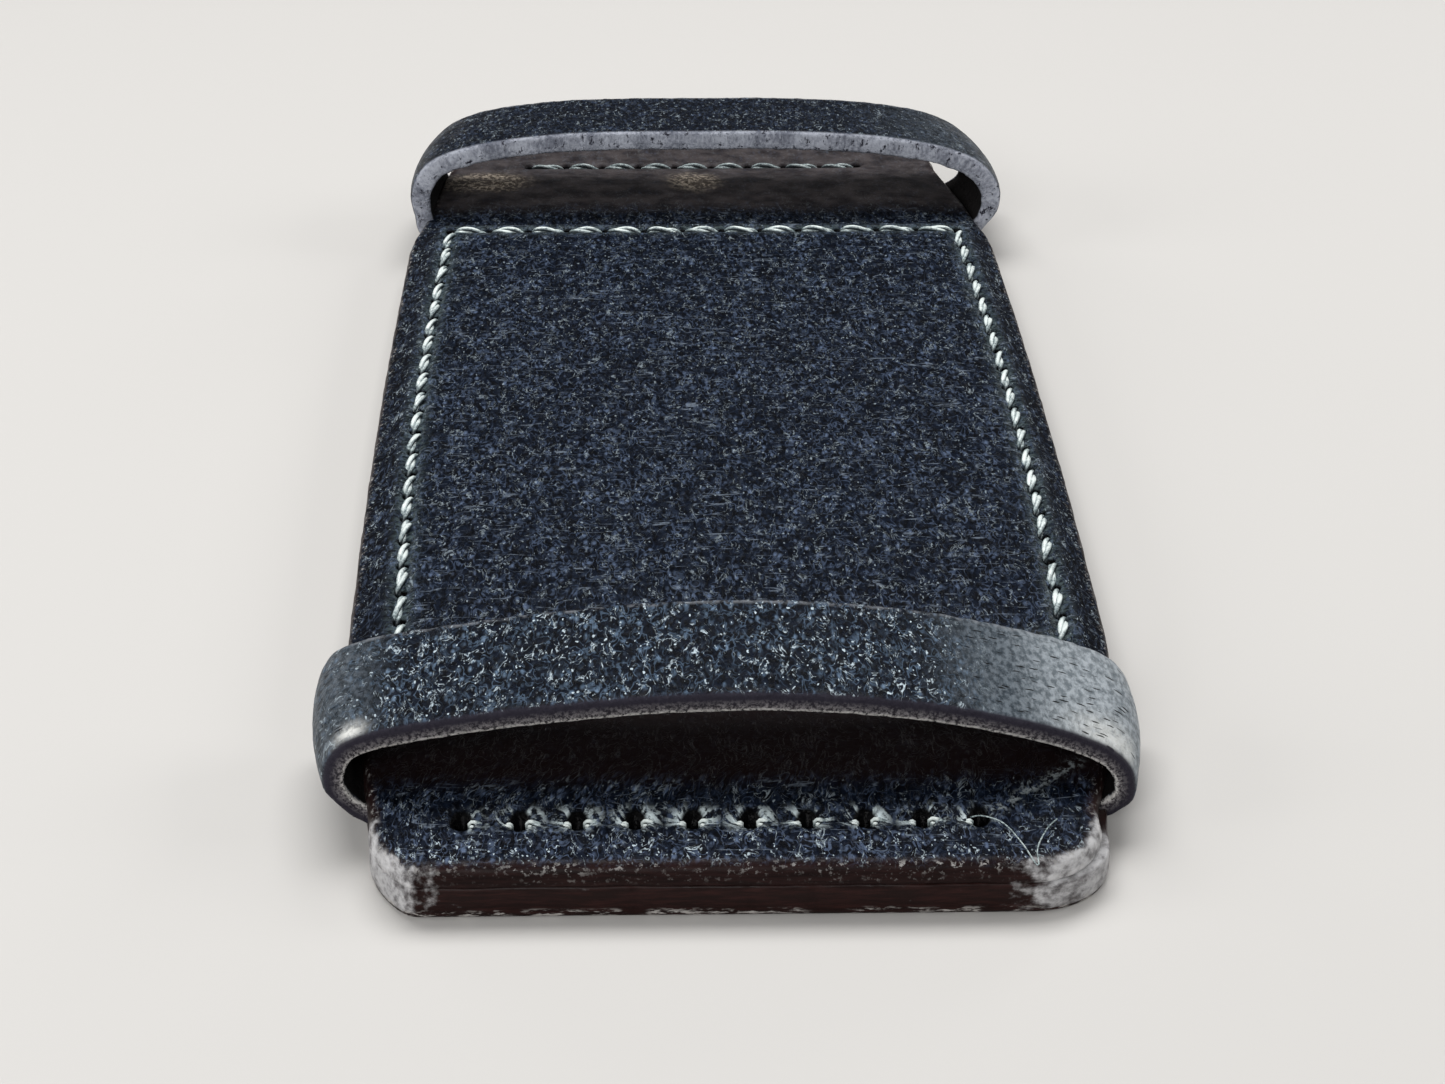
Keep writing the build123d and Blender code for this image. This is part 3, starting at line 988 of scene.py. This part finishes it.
def grain(n, spot):
    """Leather grain: raised pebbles, some brighter, fine noise, and thin wavering raised lines."""
    spot = n.scaled(spot, *GRAIN_STRETCH)
    apart, chance = n.cells(n.shift(spot, 0.4, 1.2), 2.15)
    pebble = n.span(apart, 0.06, 0.42, 1.0, 0.0)
    pebble = n.times(pebble, n.span(chance, 0.3, 0.72, 0.2, 1.0))
    fine = n.noise(spot, 3.1, 3.0, 0.6)
    ridge = thin_line(n, n.noise(spot, 1.35, 3.0, 0.6, 0.9), 0.03)
    height = n.plus(n.times(pebble, 0.5), n.times(fine, 0.6))
    height = n.plus(height, n.times(ridge, 0.3))
    return height, pebble, ridge, fine


DYE_DARK = (0.001, 0.0014, 0.003)
DYE_MID = (0.0035, 0.006, 0.013)
DYE_PALE = (0.08, 0.11, 0.175)
GLINT = (0.44, 0.52, 0.57)


def leather_colour(n, spot, marks, glints, lift=1.0, pale=DYE_PALE):
    """Paints dyed leather: blue-black gaps, a fine paler web, and short glints of light."""
    _, pebble, ridge, fine = marks
    spot = n.scaled(spot, *GRAIN_STRETCH)
    n.colour = n.ramp(fine, 0.4, 0.62, DYE_DARK, DYE_MID)
    web = thin_line(n, n.noise(spot, 1.7, 2.0, 0.5, 0.9), 0.05)
    uneven = n.span(n.noise(spot, 1.0, 3.0, 0.65), 0.36, 0.62, 0.12, 1.0)
    share = n.plus(n.times(web, 0.5), n.times(pebble, 0.85))
    n.paint(n.times(n.times(share, uneven), lift), pale)
    broken = n.times(ridge, n.span(n.noise(spot, 1.3, 3.0, 0.7), 0.5, 0.62))
    n.paint(n.times(broken, glints), GLINT)
    specks = n.noise(spot, 4.4, 1.0, 0.7)
    n.paint(n.times(n.span(specks, 0.68, 0.75), glints), GLINT)


def paint_edge(n, spot, edge, raw, dull, pale):
    """Paints the raw cut edge, burnished at the near corners with a painted pale reflection, and
    gives its relief.
    """
    rubbings = n.noise(n.scaled(spot, 0.8, 0.8, 1.1), 1.3, 4.0, 0.62)
    # Painted reflection over the burnished corners, streaked by the rubbings.
    polished_reflection = n.ramp(rubbings, 0.3, 0.7, dull, pale)
    ragged = n.plus(n.attribute("burnish_and_reflection"), n.times(n.minus(rubbings, 0.5), 1.8))
    n.paint(edge, n.mix(n.span(ragged, 0.3, 1.05), raw, polished_reflection))
    return rubbings


def cover_leather():
    n = Nodes("cover_leather")
    spot = n.attribute("rest", "Vector")
    edge, bare, margin, front = map(n.attribute, ("edge", "bare", "margin", "front"))
    marks = grain(n, spot)
    glints = n.math("MAXIMUM", n.blend(margin, 0.36, 0.75), n.blend(front, 0.36, 0.9))
    leather_colour(n, spot, marks, glints, n.blend(front, 1.0, 1.4))
    # Painted sheen along the panel seam, broken up by noise.
    smeared = n.noise(n.scaled(spot, 0.7, 1.6, 1.0), 2.6, 3.0, 0.65)
    smeared = n.span(smeared, 0.4, 0.62, 0.05, 0.7)
    n.paint(n.times(n.attribute("seam_sheen"), smeared), (0.1, 0.135, 0.14))
    smooth = n.noise(n.scaled(spot, 0.6, 0.8, 1.0), 0.9, 4.0, 0.6)
    scratch = thin_line(n, n.noise(n.scaled(spot, 0.2, 1.3, 1.0), 0.7, 2.0, 0.5, 0.2), 0.015)
    scratch = n.times(scratch, n.span(n.noise(spot, 0.9, 3.0, 0.7), 0.48, 0.6))
    n.paint(n.times(scratch, 0.85), (0.12, 0.145, 0.18))
    n.paint(n.times(margin, 0.35), (0.0015, 0.0015, 0.002))
    brown = n.ramp(smooth, 0.3, 0.7, (0.024, 0.02, 0.021), (0.082, 0.07, 0.07))
    n.paint(n.times(bare, 0.82), brown)
    n.paint(n.times(n.attribute("shaded"), 0.95), (0.0085, 0.0045, 0.0045))
    crumbs = n.span(n.noise(n.shift(spot, 0.5, 0.9), 2.6, 4.0, 0.75), 0.5, 0.57)
    dust = n.span(n.attribute("dust"), 0.15, 0.7)
    n.paint(n.times(dust, 0.6), (0.13, 0.104, 0.08))
    n.paint(n.times(dust, crumbs), (0.5, 0.43, 0.35))
    streaks = n.noise(n.scaled(spot, 1.0, 0.9, 1.0), 2.4, 3.0, 0.7, 0.8)
    streaks = n.blend(0.65, streaks, n.noise(n.attribute("fan"), 1.15, 2.0, 0.6))
    n.paint(n.times(n.attribute("wax"), n.span(streaks, 0.49, 0.57)), (0.6, 0.69, 0.71))
    # A real scrape across the near tongue's corner, and painted highlights along the lit crests of
    # two folds.
    scrape_and_fold_paint = n.times(n.attribute("scrape_and_fold_light_mask"), n.span(n.noise(spot, 2.6, 3.0, 0.7), 0.48, 0.6))
    n.paint(n.times(scrape_and_fold_paint, 0.75), (0.24, 0.27, 0.28))
    strata = n.noise(n.scaled(spot, 0.35, 0.35, 3.4), 1.2, 4.0, 0.65)
    raw = n.ramp(strata, 0.3, 0.8, (0.0085, 0.0046, 0.0044), (0.023, 0.0105, 0.0098))
    rubbings = paint_edge(n, spot, edge, raw, (0.24, 0.236, 0.24), (0.52, 0.515, 0.52))
    flecks = n.span(n.noise(spot, 3.0, 3.0, 0.7), 0.55, 0.64)
    flecks = n.times(flecks, n.span(smooth, 0.4, 0.6, 0.3, 1.0))
    n.paint(n.times(n.attribute("rim"), flecks), (0.3, 0.29, 0.28))
    # Painted shade: the stitch holes darkened to near black.
    n.paint(n.span(n.attribute("hole_shade"), 0.12, 0.34), (0.0004, 0.0004, 0.0006))
    rough = n.span(n.noise(spot, 1.4, 2.0), 0.3, 0.7, 0.3, 0.44)
    rough = n.blend(bare, rough, 0.34)
    rough = n.blend(margin, rough, 0.85)
    rough = n.blend(edge, rough, 0.4)
    flat = n.minus(1.0, n.times(bare, 0.8))
    bumps = n.blend(edge, n.times(marks[0], flat), n.times(rubbings, 0.25))
    return n.finish(rough, n.bump(bumps, 0.11), 0.05)


def base_leather():
    n = Nodes("base_leather")
    spot = n.attribute("rest", "Vector")
    edge = n.attribute("edge")
    marks = grain(n, n.scaled(spot, 0.8, 0.8, 0.8))
    leather_colour(n, spot, marks, 0.2)
    strata = n.noise(n.scaled(spot, 0.3, 0.3, 3.0), 1.3, 5.0, 0.7)
    raw = n.ramp(strata, 0.4, 0.75, (0.009, 0.0028, 0.0023), (0.026, 0.0082, 0.007))
    rubbings = paint_edge(n, spot, edge, raw, (0.21, 0.206, 0.21), (0.46, 0.455, 0.46))
    wear_and_sheen = n.noise(n.scaled(spot, 0.35, 0.35, 1.6), 2.6, 4.0, 0.7)
    wear_and_sheen = n.times(n.span(wear_and_sheen, 0.5, 0.6), n.span(n.noise(spot, 0.35, 2.0), 0.36, 0.5))
    n.paint(n.times(n.attribute("rim"), wear_and_sheen), (0.38, 0.36, 0.34))
    # Painted shade: the stitch holes darkened to near black.
    n.paint(n.span(n.attribute("hole_shade"), 0.2, 0.45), (0.0005, 0.0005, 0.001))
    rough = n.blend(edge, 0.5, n.span(strata, 0.3, 0.7, 0.32, 0.5))
    bumps = n.blend(edge, marks[0], n.times(rubbings, 0.35))
    return n.finish(rough, n.bump(bumps, 0.07), 0.12)


SLIT_TURN = math.radians(35)  # the open pores on the keepers' shoulders lie aslant


def keeper_leather(end):
    n = Nodes(f"{end}_keeper_leather")
    spot = n.attribute("rest", "Vector")
    edge, inner, wear_and_sheen = map(n.attribute, ("edge", "inner", "wear_and_sheen"))
    marks = grain(n, spot)
    if end == "near":
        leather_colour(n, spot, marks, 1.0, 1.0, (0.112, 0.168, 0.245))
    else:
        leather_colour(n, spot, marks, 0.4, 0.6)
    slits, depth = n.cells(n.scaled(n.shift(spot, 0.25, 1.5), 0.85, 3.4, 1.0, SLIT_TURN), 1.0)
    slit = n.times(n.span(slits, 0.19, 0.27, 1.0, 0.0), n.span(depth, 0.3, 0.5))
    # Painted sheen on the shoulders, from dim to pale grey, with the dark open pores kept in it.
    dim_sheen = n.ramp(marks[3], 0.36, 0.64, (0.03, 0.04, 0.05), (0.11, 0.13, 0.15))
    pale = n.ramp(marks[3], 0.34, 0.66, (0.11, 0.13, 0.145), (0.29, 0.32, 0.345))
    painted_sheen = n.ramp(wear_and_sheen, 0.55, 1.0, dim_sheen, pale)
    painted_sheen = n.mix(slit, painted_sheen, (0.0015, 0.0015, 0.002))
    n.paint(n.span(wear_and_sheen, 0.0, 0.6), painted_sheen)
    # Painted highlight: the hot spots laid on near white, broken by the open pores.
    shine = n.times(n.attribute("painted_hot_spot"), n.minus(0.9, n.times(slit, 0.8)))
    shine = n.times(shine, n.span(n.noise(spot, 1.5, 3.0, 0.7), 0.34, 0.5, 0.6, 1.1))
    n.paint(shine, (0.66, 0.66, 0.63))
    fibres = n.noise(spot, 4.0, 5.0, 0.75)
    if end == "near":
        cut = n.mix(fibres, (0.008, 0.007, 0.012), (0.04, 0.036, 0.05))
        flesh = n.ramp(fibres, 0.42, 0.6, (0.025, 0.022, 0.026), (0.25, 0.235, 0.24))
        fringe = n.times(n.attribute("fringe"), n.span(fibres, 0.4, 0.52))
        flesh = n.mix(fringe, flesh, (0.68, 0.66, 0.63))
    else:
        coarse = n.noise(spot, 2.2, 4.0, 0.75)
        cloud = n.plus(n.times(fibres, 0.5), n.times(n.noise(spot, 0.5, 3.0, 0.6), 0.5))
        lavender = n.ramp(cloud, 0.36, 0.62, (0.14, 0.15, 0.185), (0.42, 0.44, 0.5))
        cut = n.ramp(coarse, 0.35, 0.43, (0.025, 0.025, 0.035), lavender)
        flesh = cut
    # Painted highlight: a broken pale line along the far outer arris.
    arris_highlight = n.times(n.attribute("arris_highlight"), n.span(n.noise(spot, 1.3, 4.0, 0.7), 0.42, 0.6))
    n.paint(n.times(arris_highlight, 0.6), (0.22, 0.23, 0.25))
    n.paint(edge, n.mix(n.times(inner, edge), cut, flesh))
    n.paint(n.times(inner, n.minus(1.0, edge)), (0.008, 0.007, 0.007))
    rough = n.span(n.noise(spot, 1.1, 3.0), 0.3, 0.7, 0.32, 0.46)
    rough = n.blend(edge, rough, 0.55)
    rough = n.blend(inner, rough, 0.85)
    calm = n.times(marks[0], n.minus(1.0, n.times(wear_and_sheen, 0.6)))
    bumps = n.blend(edge, calm, n.times(fibres, 0.9))
    return n.finish(rough, n.bump(bumps, 0.12), 0.06)


def thread_material():
    n = Nodes("waxed_thread")
    spot = n.attribute("rest", "Vector")
    pale = n.attribute("pale")
    fibre = n.noise(spot, 6.0, 3.0, 0.6)
    # The thread's own dark colour, and a paler waxed colour laid over it as painted highlight.
    dark = n.mix(fibre, (0.006, 0.009, 0.012), (0.045, 0.06, 0.068))
    wax = n.ramp(fibre, 0.36, 0.66, (0.085, 0.115, 0.125), (0.36, 0.43, 0.43))
    n.colour = n.ramp(pale, 0.15, 0.6, dark, wax)
    # Painted near-white highlight where the highlight mask is strongest, blotched by noise.
    bare = n.plus(pale, n.minus(n.noise(spot, 1.3, 3.0, 0.6), 0.5))
    n.paint(n.span(bare, 0.62, 0.98), (0.66, 0.72, 0.7))
    return n.finish(0.34, n.bump(fibre, 0.04), 0.5)


def felt_material():
    n = Nodes("grey_felt")
    spot = n.attribute("rest", "Vector")
    fibre = n.noise(n.shift(spot, 1.0, 2.0), 5.0, 5.0, 0.75)
    n.colour = n.mix(fibre, (0.1, 0.1, 0.105), (0.28, 0.28, 0.29))
    return n.finish(0.95, n.bump(fibre, 0.25), 0.2)


# ---- stage, light and camera

FLOOR_HALF_SIZE = 900.0


def make_floor():
    size = FLOOR_HALF_SIZE
    corners = [(-size, -size, 0), (size, -size, 0), (size, size, 0), (-size, size, 0)]
    floor = new_mesh("floor", corners, [[0, 1, 2, 3]], closed=False)
    n = Nodes("pale_floor", (0.52, 0.505, 0.485))
    floor.data.materials.append(n.finish(0.6, None, 0.3))


def add_area(name, place, aim, size, power):
    light = bpy.data.lights.new(name, "AREA")
    light.shape = "RECTANGLE"
    light.size = size[0] * MM
    light.size_y = size[1] * MM
    light.energy = power
    lamp = bpy.data.objects.new(name, light)
    bpy.context.scene.collection.objects.link(lamp)
    lamp.location = Vector(place) * MM
    lamp.rotation_mode = "QUATERNION"
    lamp.rotation_quaternion = (Vector(aim) - Vector(place)).to_track_quat("-Z", "Y")


def make_lights():
    world = bpy.data.worlds.new("studio")
    world.use_nodes = True
    background = world.node_tree.nodes["Background"].inputs
    background["Color"].default_value = (0.9, 0.95, 1.0, 1)
    background["Strength"].default_value = 0.1
    bpy.context.scene.world = world
    add_area("overhead", (-30, 150, 400), (0, 0, 0), (420, 200), 2.1)
    add_area("left_side", (-340, -80, 150), (0, -10, 0), (180, 140), 0.4)
    add_area("right_side", (330, 20, 190), (0, -10, 0), (200, 140), 0.4)
    add_area("left_back", (-330, 400, 140), (0, -30, 0), (160, 110), 0.22)
    add_area("right_back", (340, 400, 160), (0, -30, 0), (160, 110), 0.3)
    add_area("front_fill", (-110, -420, 260), (0, -20, 0), (260, 160), 1.3)


# Camera place and direction: it looks down along the pad from beyond the near end.
CAMERA_PLACE = (-5.9, -170.6, 90.9)
CAMERA_PITCH = 29.68
CAMERA_TURN = -2.2
CAMERA_ROLL = 0.6
CAMERA_LENS = 69.7


def make_camera():
    data = bpy.data.cameras.new("camera")
    data.lens = CAMERA_LENS
    data.sensor_width = 36.0
    data.clip_start = 1 * MM
    data.clip_end = 5000 * MM
    camera = bpy.data.objects.new("camera", data)
    bpy.context.scene.collection.objects.link(camera)
    turn = Matrix.Rotation(math.radians(CAMERA_TURN), 4, "Z")
    tilt = Matrix.Rotation(math.radians(90 - CAMERA_PITCH), 4, "X")
    roll = Matrix.Rotation(math.radians(CAMERA_ROLL), 4, "Z")
    camera.matrix_world = Matrix.Translation(Vector(CAMERA_PLACE) * MM) @ turn @ tilt @ roll
    bpy.context.scene.camera = camera


# ---- build

make_camera()
make_floor()
make_lights()
bpy.context.scene.view_settings.view_transform = "Standard"

make_cover()
make_base()
make_felt()
make_keeper("near", NEAR_KEEPER_LINE, lean=2.0, shift=-0.3, swell=0.0)
make_keeper("far", FAR_KEEPER_LINE, lean=-4.3, shift=0.45, swell=0.25)
THREAD = thread_material()
make_seam("panel_seam", panel_holes(), True, -0.55, closed=True)
make_seam("near_end", end_holes(-1), True, -0.15, parted=True)
# The far tongue's stitches get less painted highlight, standing for the shade they lie in.
make_seam("far_end", end_holes(1), True, -0.4, highlight_share=0.72)
make_seam("panel_seam", panel_holes(), False, 0.3, closed=True)
make_seam("near_end", end_holes(-1), False, 0.3)
make_seam("far_end", end_holes(1), False, 0.3)
make_lap_stitches("near")
make_lap_stitches("far")
